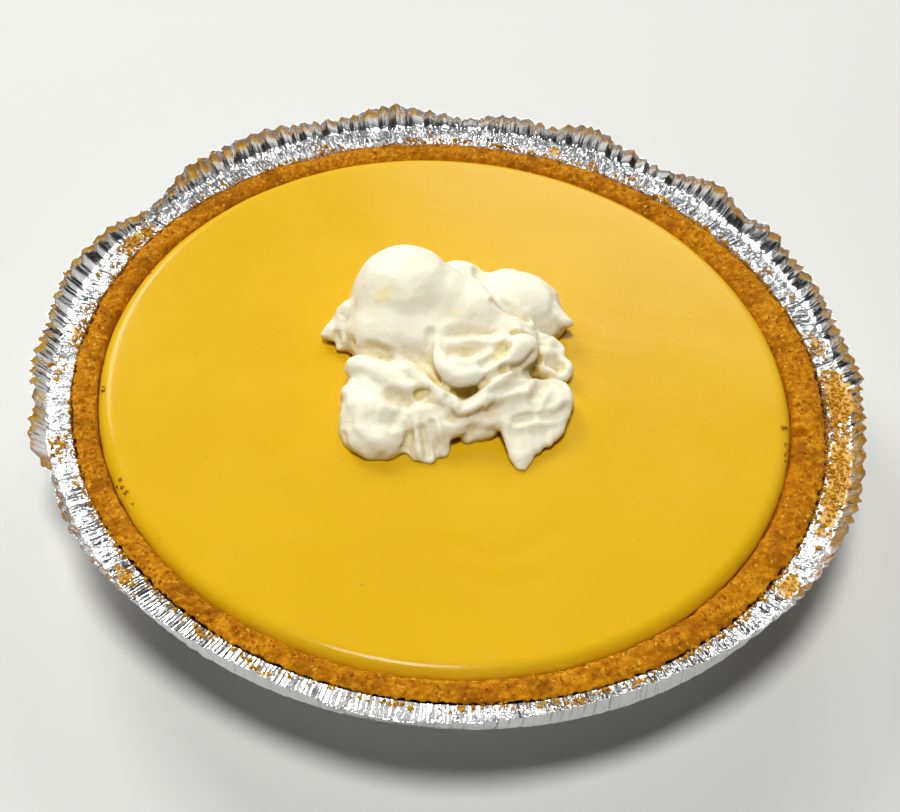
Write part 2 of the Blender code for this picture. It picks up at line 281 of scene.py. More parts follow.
# %% Model the foil tin
def between(start, end, steps):
    """Points from start to end, without the end."""
    return [tuple(a + (b - a) * step / steps for a, b in zip(start, end))
            for step in range(steps)]


WALL_ROWS, FLANGE_ROWS, BAND_ROWS = 4, 6, 7
TIN_FRONT = (-90.0, 28.0)
TIN_BACK = (90.0, 70.0)
CRIMP_WAVE = (-1.0, 0.35, 1.0)
CRINKLE_SIZE = 2.6 * MM
CRINKLE_STEP = 3.0 * MM
# Depths in mm
WALL_FOLD, WALL_CRIMP = 0.55, 0.12
FLANGE_CRIMP, FLANGE_SHIFT, FLANGE_FOLD, FLANGE_CRINKLE = 0.26, 0.15, 0.12, 0.15
BAND_FOLD, BAND_CRIMP, BAND_CRINKLE = 0.55, 0.10, 0.2
RAGGED, RAGGED_FINE = 0.4, 0.2
BOW, BOW_AT_BACK = 1.1, 1.9
tin_profile = [(0.0, FOIL), (BASE_RADIUS, FOIL)]
tin_profile += between(WALL_FOOT, WALL_TOP, WALL_ROWS)
flange_start = len(tin_profile)
tin_profile += between(WALL_TOP, FLANGE, FLANGE_ROWS)
band_start = len(tin_profile)
tin_profile += between(FLANGE, (RIM_RADIUS, FLANGE[1] + RIM_RISE), BAND_ROWS)
tin_profile.append((RIM_RADIUS, FLANGE[1] + RIM_RISE))


def press_pleats(row, column, place):
    """Fold the flat foil: the base stays as it is, and the wall, flange and band gather."""
    if row < 2:
        return place
    pleat, step = divmod(column, PLEAT_COLUMNS)
    share = step / PLEAT_COLUMNS
    start, end = pleat_start[pleat], pleat_start[pleat + 1]
    angle = start + (end - start) * share
    front = bump(angle, *TIN_FRONT)
    back = bump(angle, *TIN_BACK)
    zigzag = 1.0 - 4.0 * abs(share - 0.5)
    shingle = -1.0 if step in (0, PLEAT_COLUMNS - 1) else 0.2 + 0.7 * share
    fold = zigzag + (shingle - zigzag) * front
    crimp = CRIMP_WAVE[step % 3] * (0.55 + 0.45 * crimp_depth[column])
    radius = math.hypot(place.x, place.y)
    height = place.z
    spot = Vector((math.cos(math.radians(angle)), math.sin(math.radians(angle)), 0.0))
    crinkle = grain(spot * radius + Vector((0, 0, CRINKLE_STEP * row)), CRINKLE_SIZE, 4.0)
    if row < flange_start:
        climb = (row - 2) / (flange_start - 2)
        radius += (WALL_FOLD * fold * pleat_depth[pleat] + WALL_CRIMP * crimp) * MM * climb
        radius += oval(angle) * climb
    elif row < band_start:
        across = (row - flange_start) / FLANGE_ROWS
        radius += oval(angle) * (1.0 - 0.5 * across)
        radius += FLANGE_SHIFT * crimp * MM * (1.0 - across)
        height += (FLANGE_CRIMP - 0.15 * front) * crimp * MM
        height += ((FLANGE_CRINKLE + 0.5 * back) * crinkle + FLANGE_FOLD * fold) * MM
    else:
        up = (row - band_start) / BAND_ROWS
        edge_radius, edge_height = rim_edge(angle)
        root = FLANGE[0] + 0.5 * oval(angle)
        bow = BOW + BOW_AT_BACK * back
        radius = root + (edge_radius - root) * (1.0 - (1.0 - up) ** bow)
        ragged = RAGGED * pleat_ragged[pleat] + RAGGED_FINE * crimp_depth[column]
        height = FLANGE[1] + (edge_height - FLANGE[1]) * up + ragged * MM * up * up
        depth = (BAND_FOLD + 0.45 * back - 0.2 * front) * pleat_depth[pleat]
        depth *= 0.35 + 0.65 * up
        crinkled = BAND_CRINKLE * crinkle * (1.0 - 0.5 * front)
        radius += (depth * fold + BAND_CRIMP * crimp + crinkled) * MM
    return Vector((spot.x * radius, spot.y * radius, height))


FOLD_ANGLE = 22.0
tin_mesh = rolled(tin_profile, TIN_COLUMNS, press_pleats)
foil_skin = BVHTree.FromBMesh(tin_mesh)
foil_tin = piece("crimped_foil_tin", tin_mesh, "foil_tin", sharp=FOLD_ANGLE)


def crisp_rim(obj):
    """Keep the shading of the cut edge apart from the shading of the band below it."""
    bm = bmesh.new()
    bm.from_mesh(obj.data)
    for edge in bm.edges:
        if edge.is_boundary:
            edge.smooth = False
    bm.to_mesh(obj.data)
    bm.free()


crisp_rim(foil_tin)
thickness = foil_tin.modifiers.new("foil_thickness", "SOLIDIFY")
thickness.thickness = FOIL
thickness.offset = 1.0

# %% [markdown]
# ## The graham crust
# Crushed biscuit pressed into the tin bakes to a ring of crumb with a rounded, ragged
# crown. A Displace modifier with a texture could roughen it, but a function of the
# place says exactly where the ring is worn. The profile goes up the outside, over the
# crown and down the hollow for the filling. Two sizes of cell noise raise the crumbs,
# smooth noise makes the ring uneven, and a few notches and one crack are cut where the
# real ring has broken: angle and half width in degrees, then the depth in millimetres.

# %% Model the crust
CRUST_OUTER = 103.6 * MM
CRUST_SHOULDER = 29.1 * MM
CRUST_CREST = 30.2 * MM
CRUST_FLOOR = 5.6 * MM
GAP = 0.3 * MM
FILLING_CENTRE = Vector((-1.5 * MM, -0.3 * MM, 0.0))
FILLING_RADIUS = 96.2 * MM
FILLING_EDGE = 27.1 * MM
CAVITY_FOOT = 82.6 * MM
CRUST_COLUMNS = 1700
CROWN_ROWS = 22
CRUST_NOTCHES = ((-4.0, 2.6, 1.5), (-149.0, 4.0, 1.3), (121.0, 3.0, 0.7), (38.0, 3.0, 0.8))
CRACK = (-4.4, 0.45, 3.2)
CRUMB_SIZE, FINE_CRUMB_SIZE, PIT_SIZE, EDGE_SIZE = 1.5 * MM, 0.8 * MM, 1.6 * MM, 1.5 * MM
WEAR_SIZE, FINE_WEAR_SIZE, BREAK_SIZE = 9.0 * MM, 3.0 * MM, 2.0 * MM
SIDE_LIMIT = 0.65


def crown_points():
    """The rounded crown, from its outer edge over the crest to its inner edge."""
    middle = 0.5 * (CRUST_OUTER + FILLING_RADIUS + GAP)
    half = 0.5 * (CRUST_OUTER - FILLING_RADIUS - GAP)
    points = []
    for step in range(CROWN_ROWS + 1):
        turn = math.pi * step / CROWN_ROWS
        foot = CRUST_SHOULDER + (FILLING_EDGE + 0.3 * MM - CRUST_SHOULDER) * step / CROWN_ROWS
        lift = (CRUST_CREST - foot) * math.sin(turn) ** 0.7
        points.append((middle + half * math.cos(turn), foot + lift))
    return points


crust_floor = FOIL + GAP
crust_profile = [(0.0, crust_floor), (84.7 * MM, crust_floor),
                 (87.7 * MM, crust_floor + 2.2 * MM), (101.9 * MM, 26.3 * MM)]
crown_start = len(crust_profile)
crust_profile += crown_points()
crown_end = len(crust_profile)
crust_profile += [(FILLING_RADIUS + GAP - 0.6 * MM, 26.2 * MM),
                  (CAVITY_FOOT + GAP, crust_floor + CRUST_FLOOR),
                  (0.0, crust_floor + CRUST_FLOOR)]


def press_crumbs(row, column, place):
    """Roughen the crown and its two sides; the bottom and the hollow stay plain."""
    if row < crown_start - 1 or row >= crown_end + 1:
        return place + (FILLING_CENTRE if row >= crown_end else Vector())
    angle = 360.0 * column / CRUST_COLUMNS
    outward = Vector((place.x, place.y, 0.0)).normalized()
    across = min(max((row - crown_start) / CROWN_ROWS, 0.0), 1.0)
    place = place + outward * oval(angle) * (1.0 - across) + FILLING_CENTRE * across
    crumbs = 0.55 * crumb_relief(place, CRUMB_SIZE)
    crumbs += 0.3 * crumb_relief(place, FINE_CRUMB_SIZE, 5.0)
    uneven = 0.55 * grain(place, WEAR_SIZE, 2.0) + 0.35 * grain(place, FINE_WEAR_SIZE, 6.0)
    pit = max(0.0, grain(place, PIT_SIZE, 9.0) - 0.35)
    broken = 0.6 + 0.4 * grain(place, BREAK_SIZE, 8.0)
    notch = sum(depth * bump(angle, centre, half) * broken
                for centre, half, depth in CRUST_NOTCHES)
    crack_centre = CRACK[0] + 0.3 * grain(place, BREAK_SIZE)
    crack = CRACK[2] * bump(angle, crack_centre, CRACK[1])
    notch += crack * smooth_step((across - 0.45) * 6.0)
    top = math.sin(math.pi * across) ** 0.5 if 0.0 < across < 1.0 else 0.0
    height = (crumbs + uneven - 2.2 * pit) * (0.35 + 0.65 * top) - 0.25 - notch
    side = (0.5 * crumbs + 1.1 * uneven) * (1.0 - top)
    ragged = 0.9 * grain(place, EDGE_SIZE, 12.0) * (1.0 - top)
    side = min(side + ragged, SIDE_LIMIT) if across < 0.5 else -0.5 * side
    return place + Vector((0, 0, height * MM)) + outward * side * MM


crust_mesh = rolled(crust_profile, CRUST_COLUMNS, press_crumbs)
crust_skin = BVHTree.FromBMesh(crust_mesh)
crust = piece("graham_crumb_crust", crust_mesh, "graham_crust")

# %% [markdown]
# ## The lime filling
# The set filling is poured level, so its top is flat with a soft rounded shoulder
# where it meets the crust. A plain bevelled disc would do for its outline, but its
# gloss would be too even. So low noise gives the surface the slight waves that a
# palette knife leaves, and a few shallow strokes make the swirl near the front: places
# in plan, then the half width and the height in millimetres.

# %% Model the filling
FILLING_TOP = 30.5 * MM
SHOULDER = 4.0 * MM
SHOULDER_ROWS = 12
FLAT_ROWS, FLAT_STEP = 55, 1.6 * MM
FILLING_COLUMNS = 420
WAVE_SIZE, RIPPLE_SIZE, EDGE_WAVE_SIZE = 26 * MM, 9 * MM, 7 * MM
SWIRLS = (
    (((4, -56), (12, -60), (22, -58), (31, -50)), 2.4, -0.16),
    (((8, -66), (18, -69), (28, -65)), 2.0, -0.12),
    (((-6, -50), (2, -54), (10, -53)), 2.0, 0.12),
)


def shoulder_points():
    """A quarter round from the filling's edge up to its flat top."""
    points = []
    for step in range(SHOULDER_ROWS + 1):
        turn = 0.5 * math.pi * step / SHOULDER_ROWS
        points.append((FILLING_RADIUS - SHOULDER * (1.0 - math.cos(turn)),
                       FILLING_EDGE + (FILLING_TOP - FILLING_EDGE) * math.sin(turn)))
    return points


def smooth_path(points, spacing):
    """Close points along a smooth curve (Catmull-Rom) through the given ones."""
    places = [np.array(point, float) for point in points]
    places = [2 * places[0] - places[1], *places, 2 * places[-1] - places[-2]]
    close = []
    for before, start, end, after in zip(places, places[1:], places[2:], places[3:]):
        count = max(2, int(np.linalg.norm(end - start) / spacing))
        for step in range(count):
            t = step / count
            close.append(0.5 * (2 * start + (end - before) * t
                                + (2 * before - 5 * start + 4 * end - after) * t * t
                                + (3 * start - before - 3 * end + after) * t ** 3))
    close.append(places[-2])
    return np.array(close)


filling_floor = FOIL + GAP + CRUST_FLOOR + GAP
flat_rows = [(FILLING_RADIUS - SHOULDER - step * FLAT_STEP, FILLING_TOP)
             for step in range(1, FLAT_ROWS + 1)]
filling_profile = [(0.0, filling_floor), (CAVITY_FOOT, filling_floor), *shoulder_points(),
                   *flat_rows, (0.0, FILLING_TOP)]
swirl_paths = [(smooth_path(points, 1.0), width, depth) for points, width, depth in SWIRLS]


def spread_filling(row, column, place):
    """Waves and strokes on the top, and an uneven edge; the hidden rows stay plain."""
    if row < 3:
        return place + FILLING_CENTRE
    flat = Vector((place.x, place.y, 0.0))
    wave = 0.16 * grain(flat, WAVE_SIZE, 3.0) + 0.06 * grain(flat, RIPPLE_SIZE, 5.0)
    spot = np.array((place.x / MM, place.y / MM))
    for path, width, depth in swirl_paths:
        away = np.sqrt(((path - spot) ** 2).sum(1).min()) / width
        wave += depth * math.exp(-away * away)
    out = flat.normalized() * 0.25 * grain(flat, EDGE_WAVE_SIZE, 7.0)
    out *= smooth_step((9 - row) / 6.0)
    return place + FILLING_CENTRE + Vector((0, 0, wave * MM)) + out * MM


filling_mesh = rolled(filling_profile, FILLING_COLUMNS, spread_filling)
filling_skin = BVHTree.FromBMesh(filling_mesh)
filling = piece("lime_filling_top", filling_mesh, "lime_filling")

# %% [markdown]
# ## The whipped cream
# Spooned cream is a heap of soft lobes with lips, hanging folds and drawn-out tips.
# Sculpting by hand would suit it, but a script has to say every place in numbers. So
# stretched balls are melted into one soft body by a voxel remesh and smoothing. Then
# strings of small balls are laid on that body and melted again with less smoothing, so
# they keep an edge. Last, strokes press creases into the skin. All places are in
# millimetres from the middle of the filling's top. A lobe has a centre, half widths
# along its own axes, and turns in degrees.

# %% The cream's lobes
CREAM_PLACE = Vector((-1.5 * MM, 0.0, FILLING_TOP))
CREAM_VOXEL = 0.6 * MM
BODY_PASSES, FOLD_PASSES = 50, 14
CREAM_LOBES = {
    "heart": ((0, 2, 0), (24, 23, 11), (0, 0, 0)),
    "mound": ((-14, 20, 6), (16, 18, 17), (0, 0, 8)),
    "mound_side": ((-6, 18, 6), (14, 14.5, 13.4), (0, 0, 0)),
    "mound_front": ((-16, 8, 5), (13.5, 13, 11.5), (0, 0, 0)),
    "mound_slope": ((-7, 8, 5), (14, 13, 11.5), (0, 0, 0)),
    "plateau": ((1, 16, 5), (16, 15, 12), (0, 0, 0)),
    "saddle": ((0.5, 31, 4.5), (8.5, 7.5, 8.5), (0, 0, 0)),
    "shell": ((17, 25, 2.5), (16, 13.5, 10.5), (0, 6, -12)),
    "middle": ((12, 11, 4), (14, 9, 8.5), (0, 0, 0)),
    "dish": ((9.5, -2.5, 4), (14, 8.5, 9.2), (0, 0, 20)),
    "left_apron": ((-19, -17.5, 1.3), (9.8, 16, 8.2), (0, 0, 0)),
    "apron_shoulder": ((-19.5, -7.5, 2.5), (8.5, 7, 7), (0, 0, 0)),
    "apron_foot": ((-15.5, -26, 1), (7.6, 7.5, 5.6), (0, 0, 0)),
    "front_heap": ((4, -14, 3), (12, 7.5, 5.5), (0, 0, -5)),
    "right_heap": ((17, -10.5, 3.5), (11, 8.5, 7), (0, 0, 15)),
    "right_shoulder": ((28.8, -9.5, 2.5), (6.5, 8.5, 5.5), (0, 0, -10)),
}

# %% [markdown]
# Lips, ridges, hanging pleats and drawn-out tips are strings of balls. Each string is
# a smooth path of (x, y, z, radius); strings that run side by side melt into a sheet,
# which is how the curtain at the front and the tongue on the right are made.

# %% The cream's folds
CREAM_FOLDS = {
    "dish_lip": ((-4.1, 3.2, 12.0, 2.0), (-3.5, -1.7, 12.1, 2.4), (-2.4, -6.2, 12.0, 2.6),
                 (0.5, -10.4, 11.5, 2.8), (3.9, -11.6, 11.3, 2.8), (7.7, -9.6, 11.2, 2.6),
                 (11.5, -6.5, 11.1, 2.4), (14.3, -4.6, 11.1, 2.4)),
    "dish_inner": ((-0.3, -0.9, 11.6, 3.2), (4.1, 0.6, 11.4, 3.2), (9.0, 2.0, 11.3, 3.0),
                   (14.0, 3.5, 11.1, 3.0)),
    "dish_inner_low": ((1.6, -6.8, 11.6, 3.2), (5.5, -6.4, 11.4, 3.2), (10.3, -3.3, 11.3, 3.0)),
    "dish_knob": ((16.7, -1.4, 10.8, 3.6), (18.8, 1.4, 10.5, 4.6), (20.2, 3.7, 10.2, 4.2)),
    "left_vee": ((-14.7, -5.5, 8.8, 2.6), (-9.9, -9.0, 8.6, 2.9), (-5.7, -12.6, 8.2, 2.9),
                 (-1.0, -15.6, 7.8, 2.9), (2.6, -18.4, 7.5, 2.8)),
    "right_vee": ((15.6, -7.2, 9.7, 2.8), (12.4, -11.7, 9.1, 2.8), (9.2, -16.0, 8.3, 2.8),
                  (6.1, -19.1, 7.4, 2.6)),
    "apron_top": ((-24.6, -6.4, 6.5, 4.0), (-19.1, -9.3, 7.5, 4.4), (-14.0, -12.4, 7.5, 4.0),
                  (-10.1, -14.5, 7.5, 3.0)),
    "apron_side": ((-24.8, -15.5, 5.2, 3.6), (-23.7, -21.0, 4.2, 3.6), (-20.8, -25.8, 3.4, 3.2)),
    "apron_belly": ((-21.5, -13.5, 5.4, 4.4), (-20.2, -18.0, 4.9, 4.8), (-17.0, -22.5, 4.0, 4.4)),
    "apron_cheek": ((-13.6, -17.6, 5.6, 3.4), (-12.4, -22.4, 3.9, 3.4), (-12.0, -26.0, 2.4, 3.0)),
    "apron_fill": ((-10.6, -21.0, 3.0, 3.2), (-8.8, -22.6, 1.8, 2.6)),
    "curtain_left": ((-8.2, -18.4, 6.3, 2.7), (-7.0, -24.2, 3.9, 2.5), (-5.2, -30.4, 0.1, 2.1)),
    "curtain_middle": ((-5.2, -19.6, 5.9, 2.5), (-3.7, -24.8, 3.3, 2.4),
                       (-2.5, -30.4, -0.1, 2.1)),
    "curtain_right": ((-3.0, -20.4, 5.7, 2.5), (-1.4, -24.6, 3.3, 2.4), (0.3, -28.4, 0.4, 2.2)),
    "curtain_tuck": ((-8.3, -25.2, 2.3, 1.5), (-8.5, -28.3, 0.7, 1.4), (-7.2, -31.4, -0.0, 1.3)),
    "front_lump": ((2.2, -19.0, 6.8, 2.3), (5.2, -19.3, 6.7, 2.4), (8.6, -16.7, 7.2, 2.2)),
    "front_brow": ((-1.9, -21.4, 5.1, 2.4), (3.2, -22.7, 3.6, 2.3), (7.8, -19.3, 4.1, 2.4),
                   (15.1, -18.4, 4.1, 2.4), (19.9, -15.8, 4.4, 2.2)),
    "under_lump": ((6.7, -21.9, 0.8, 2.6), (10.5, -20.8, 1.2, 2.5), (12.9, -19.2, 1.8, 2.0)),
    "tongue_1": ((16.9, -20.8, 4.2, 2.0), (18.4, -26.0, 2.3, 1.8), (21.1, -31.1, 0.4, 1.6)),
    "tongue_2": ((19.3, -19.9, 4.2, 2.2), (20.8, -24.9, 2.4, 2.0), (22.3, -31.1, 0.2, 1.6)),
    "tongue_3": ((22.0, -19.2, 4.2, 2.3), (23.0, -23.4, 2.5, 2.1), (22.9, -28.8, 0.5, 1.7)),
    "tongue_4": ((24.9, -18.2, 4.2, 2.3), (25.7, -21.3, 2.7, 2.1), (25.4, -24.8, 1.5, 1.7)),
    "tongue_5": ((27.8, -16.8, 3.8, 2.3), (28.8, -19.7, 2.8, 2.0), (28.2, -22.7, 1.8, 1.6)),
    "tongue_6": ((31.0, -13.6, 3.5, 2.1), (31.2, -17.2, 2.8, 1.8), (29.9, -20.8, 2.0, 1.5)),
    "left_tip": ((-28.3, 12.0, 3.1, 4.6), (-31.6, 11.3, 2.7, 4.0), (-34.4, 9.5, 2.8, 2.9),
                 (-36.1, 8.0, 3.4, 1.3)),
    "left_tip_low": ((-27.6, 7.2, 2.4, 3.6), (-30.1, 6.4, 2.3, 2.4), (-31.3, 5.0, 1.8, 1.3)),
    "left_bump": ((-29.0, 14.8, 6.9, 3.4), (-31.1, 15.2, 6.3, 2.4)),
    "shell_tip": ((27.1, 23.6, 5.4, 4.2), (30.9, 20.4, 5.5, 2.4), (33.1, 19.1, 5.8, 1.0)),
    "right_fold_high": ((25.9, 11.6, 5.0, 3.2), (29.1, 11.4, 4.7, 2.1), (31.1, 10.2, 4.5, 1.5),
                        (31.3, 7.2, 3.9, 1.4)),
    "right_fold_fill": ((26.3, 7.3, 2.9, 3.4), (26.9, 2.3, 2.4, 3.6), (29.6, 4.3, 1.4, 2.6)),
    "right_fold_low": ((25.7, 6.2, 4.0, 3.2), (29.3, 7.0, 3.8, 1.9), (32.4, 5.3, 3.4, 1.6),
                       (32.8, 2.1, 2.4, 1.6), (31.5, 0.4, 1.7, 1.7), (28.1, 1.5, 2.0, 2.2)),
    "ripple": ((3.6, 7.8, 12.1, 1.5), (8.5, 11.8, 11.6, 1.6), (13.6, 11.4, 11.1, 1.7),
               (18.3, 9.6, 10.6, 1.6)),
    "ripple_low": ((4.8, 5.4, 11.8, 1.3), (8.7, 8.2, 11.5, 1.4)),
    "mound_foot_fold": ((-23.8, 1.6, 8.1, 2.2), (-19.6, -0.2, 8.4, 2.2), (-14.9, -3.4, 8.8, 2.0)),
}

# %% [markdown]
# Strokes are creases and soft hollows in the finished skin: places in plan, then the
# half width and the depth in millimetres. A negative depth presses in, and the skin
# swells a little on both sides of it, as cream does beside a spoon's edge.

# %% The cream's strokes
CREAM_STROKES = {
    "mound_foot": (((-27.5, -4.2), (-22.1, -1.9), (-15.8, -5.0), (-12.2, -6.6)), 1.4, -0.9),
    "lip_crease": (((-5.9, 1.7), (-5.2, -4.9), (-2.7, -11.5), (1.8, -15.0), (7.1, -13.7),
                     (11.0, -10.1), (14.5, -7.3)), 1.1, -0.8),
    "lip_hole": (((4.4, -14.3), (6.6, -13.3)), 1.5, -2.2),
    "apron_hole": (((-7.4, -15.5), (-5.4, -15.4)), 1.3, -1.5),
    "dish_hollow": (((0.9, -3.6), (4.9, -3.7), (9.2, -1.1), (12.1, 0.6)), 3.4, -0.8),
    "dish_notch": (((9.5, -7.9), (12.7, -3.3), (14.8, 0.2)), 1.4, -1.0),
    "dish_back": (((0.4, 2.7), (4.9, 3.6), (10.8, 4.0)), 1.8, -0.6),
    "apron_shelf": (((-15.0, -17.9), (-12.0, -18.0), (-9.1, -17.8)), 1.8, -0.8),
    "apron_notch": (((-8.7, -26.6), (-9.4, -29.4)), 1.3, -1.2),
    "apron_dent": (((-19.5, -25.8), (-17.4, -22.7), (-14.8, -24.9)), 2.0, -0.4),
    "curtain_crease": (((-5.5, -25.3), (-4.7, -27.9), (-3.6, -31.1)), 0.9, -0.8),
    "curtain_crease_right": (((-3.1, -23.5), (-1.9, -27.3), (-0.8, -30.6)), 0.8, -0.5),
    "heap_crease": (((10.6, -18.9), (15.2, -16.8), (21.0, -14.1), (23.4, -11.8)), 1.6, -0.9),
    "bulk_crease": (((12.1, -14.6), (16.4, -12.1), (21.8, -9.6)), 1.2, -0.6),
    "shoulder_crease": (((23.6, -14.4), (24.4, -10.4), (26.0, -6.2)), 1.3, -0.8),
    "tongue_crease": (((19.5, -19.7), (23.3, -18.1), (29.2, -16.2), (32.7, -13.0)), 1.1, -0.7),
    "tongue_hollow": (((20.3, -24.2), (24.6, -22.3), (28.9, -19.8)), 3.0, -0.8),
    "lump_crease": (((0.5, -17.2), (2.3, -21.3), (5.8, -21.5), (9.5, -19.3)), 1.0, -0.9),
    "shell_crease": (((5.5, 31.1), (7.7, 24.0), (12.4, 17.8), (20.2, 14.7)), 1.3, -0.8),
    "shell_crease_low": (((10.4, 15.9), (15.6, 15.0), (20.8, 14.2)), 0.9, -0.6),
    "knob_crease": (((17.4, 7.3), (22.5, 7.5), (24.4, 3.8)), 1.0, -0.9),
    "knob_low_crease": (((14.5, -7.2), (18.4, -4.4), (22.6, -0.1)), 1.0, -0.9),
    "right_hollow": (((27.3, 3.5), (30.4, 3.0)), 1.6, -1.6),
    "left_tip_crease": (((-32.2, 7.7), (-31.3, 4.8)), 0.9, -0.8),
}

# %% [markdown]
# ## Melting the cream together
# The Remesh modifier in voxel mode wraps one closed skin round everything in the
# bmesh, and the Smooth modifier softens it. Both are applied straight away, because
# the next stage needs the finished skin to lay its folds on.

# %% Melt the cream
def place_lobe(bm, centre, half_widths, turns):
    """A ball stretched to its half widths, turned and set down."""
    turn = Euler([math.radians(angle) for angle in turns]).to_matrix().to_4x4()
    size = Matrix.Diagonal((*[width * MM for width in half_widths], 1.0))
    place = Matrix.Translation(Vector(centre) * MM)
    bmesh.ops.create_icosphere(bm, subdivisions=4, radius=1.0, matrix=place @ turn @ size)


def fold(path):
    """A string of close balls along a smooth path of (x, y, z, radius)."""
    bm = bmesh.new()
    for x, y, z, radius in smooth_path(path, 0.6):
        bmesh.ops.create_icosphere(bm, subdivisions=2, radius=radius * MM,
                                   matrix=Matrix.Translation(Vector((x, y, z)) * MM))
    return bm


def melted(bm, passes):
    """One closed, smoothed skin round everything in the bmesh, as a new bmesh."""
    mesh = bpy.data.meshes.new("cream_stage")
    bm.to_mesh(mesh)
    bm.free()
    obj = bpy.data.objects.new("cream_stage", mesh)
    bpy.context.scene.collection.objects.link(obj)
    skin = obj.modifiers.new("one_skin", "REMESH")
    skin.mode = "VOXEL"
    skin.voxel_size = CREAM_VOXEL
    soften = obj.modifiers.new("soften", "SMOOTH")
    soften.factor = 0.5
    soften.iterations = passes
    depsgraph = bpy.context.evaluated_depsgraph_get()
    result = bmesh.new()
    result.from_object(obj, depsgraph)
    bpy.data.objects.remove(obj)
    bpy.data.meshes.remove(mesh)
    return result


def height_on(skin, x, y):
    """Height in mm of the skin above a place in plan."""
    hit = skin.ray_cast(Vector((x * MM, y * MM, 0.1)), DOWN)[0]
    return hit.z / MM if hit else 0.0


def heap_of_cream():
    """The lobes melted into a body, then the folds melted on to it."""
    bm = bmesh.new()
    for lobe in CREAM_LOBES.values():
        place_lobe(bm, *lobe)
    body = melted(bm, BODY_PASSES)
    folds = [fold(path) for path in CREAM_FOLDS.values()]
    return melted(gathered([body, *folds]), FOLD_PASSES)


cream_mesh = heap_of_cream()
print("melted cream:", len(cream_mesh.verts), "vertices")

# %% [markdown]
# ## Strokes on the cream
# Strokes could be cut with a Boolean, but that leaves sharp lips. Instead each vertex
# moves along its own normal by the sum of the strokes near it, plus three sizes of
# noise for the torn, airy skin. The heap is then cut flat where it sits on the filling,
# and the cut is filled so that the piece stays closed.

# %% Press the strokes
TEAR_SIZE, FINE_TEAR_SIZE, FOAM_SIZE = 5.6 * MM, 2.4 * MM, 0.9 * MM
SMOOTH_FROM, SMOOTH_OVER = 7.0, 5.0
TONGUE = (26.0, -22.0)


def tear(x, y, z):
    """How torn the skin is: less on the high lobes and on the tongue at the right."""
    amount = 1.0 - 0.7 * smooth_step((z - SMOOTH_FROM) / SMOOTH_OVER)
    return amount * (1.0 - 0.85 * math.exp(-((x - TONGUE[0]) ** 2 + (y - TONGUE[1]) ** 2) / 90.0))


def press_strokes(bm):
    """Move the skin along its normals by the strokes and the torn noise."""
    bm.normal_update()
    places = np.array([point.co for point in bm.verts]) / MM
    normals = np.array([point.normal for point in bm.verts])
    skin = BVHTree.FromBMesh(bm)
    move = np.zeros(len(places))
    for path, width, depth in CREAM_STROKES.values():
        line = smooth_path([(x, y, height_on(skin, x, y)) for x, y in path], 0.4)
        near = np.full(len(places), 1e9)
        for spot in line:
            near = np.minimum(near, ((places - spot) ** 2).sum(1))
        away = np.sqrt(near) / width
        move += depth * np.exp(-0.9 * away ** 2)
        if len(path) > 2:
            move -= 0.3 * depth * np.exp(-((away - 1.9) / 0.7) ** 2)
    for index, place in enumerate(places):
        spot = Vector(place) * MM
        torn = grain(spot, TEAR_SIZE) + 0.4 * grain(spot, FINE_TEAR_SIZE, 4.0)
        move[index] += tear(*place) * torn
        move[index] += 0.06 * grain(spot, FOAM_SIZE, 8.0)
    for point, place, normal, step in zip(bm.verts, places, normals, move):
        point.co = Vector((place + normal * step) * MM)


def cut_seat(bm):
    """Keep what is above the seat and close the cut."""
    whole = list(bm.verts) + list(bm.edges) + list(bm.faces)
    cut = bmesh.ops.bisect_plane(bm, geom=whole, dist=0.01 * MM, plane_co=(0, 0, GAP),
                                 plane_no=(0, 0, 1), clear_inner=True)
    edges = [part for part in cut["geom_cut"] if isinstance(part, bmesh.types.BMEdge)]
    bmesh.ops.holes_fill(bm, edges=edges)


press_strokes(cream_mesh)
cut_seat(cream_mesh)
bmesh.ops.translate(cream_mesh, verts=cream_mesh.verts, vec=CREAM_PLACE)
cream = piece("whipped_cream_dollop", cream_mesh, "whipped_cream")

# %% [markdown]
# ## Painted shade in the cream's creases
# Cream looks darker and yellower in its creases, where shade falls and light bounced
# from the filling soaks in before it leaves again. A shader can work that out while it
# renders, but an exported model can't. So each vertex sends a few short rays outward
# and stores the share that meets cream or filling, and the cream's finish paints shade
# from that number. A second number marks two spots on the mound with a painted warm glow.

# %% Measure the shelter
SHELTER_RAYS = 14
SHELTER_REACH = 9.0 * MM
# two spots of painted warm glow on the mound
# places in plan, half width and strength
PAINTED_GLOW_SPOTS = ((-19.6, 10.8, 2.4, 1.0), (-0.5, 8.8, 1.8, 0.7))


def even_directions(count):
    """Directions spread evenly over a ball, along a spiral."""
    golden = math.pi * (3.0 - math.sqrt(5.0))
    spiral = []
    for index in range(count):
        up = 1.0 - (2.0 * index + 1.0) / count
        ring = math.sqrt(1.0 - up * up)
        turn = golden * index
        spiral.append(Vector((ring * math.cos(turn), ring * math.sin(turn), up)))
    return spiral


def painted_glow_at(place):
    """How strong the painted warm glow is at a place, from 0 to 1."""
    spot = (place - CREAM_PLACE) / MM
    return sum(amount * math.exp(-((spot.x - x) ** 2 + (spot.y - y) ** 2) / width ** 2)
               for x, y, width, amount in PAINTED_GLOW_SPOTS)


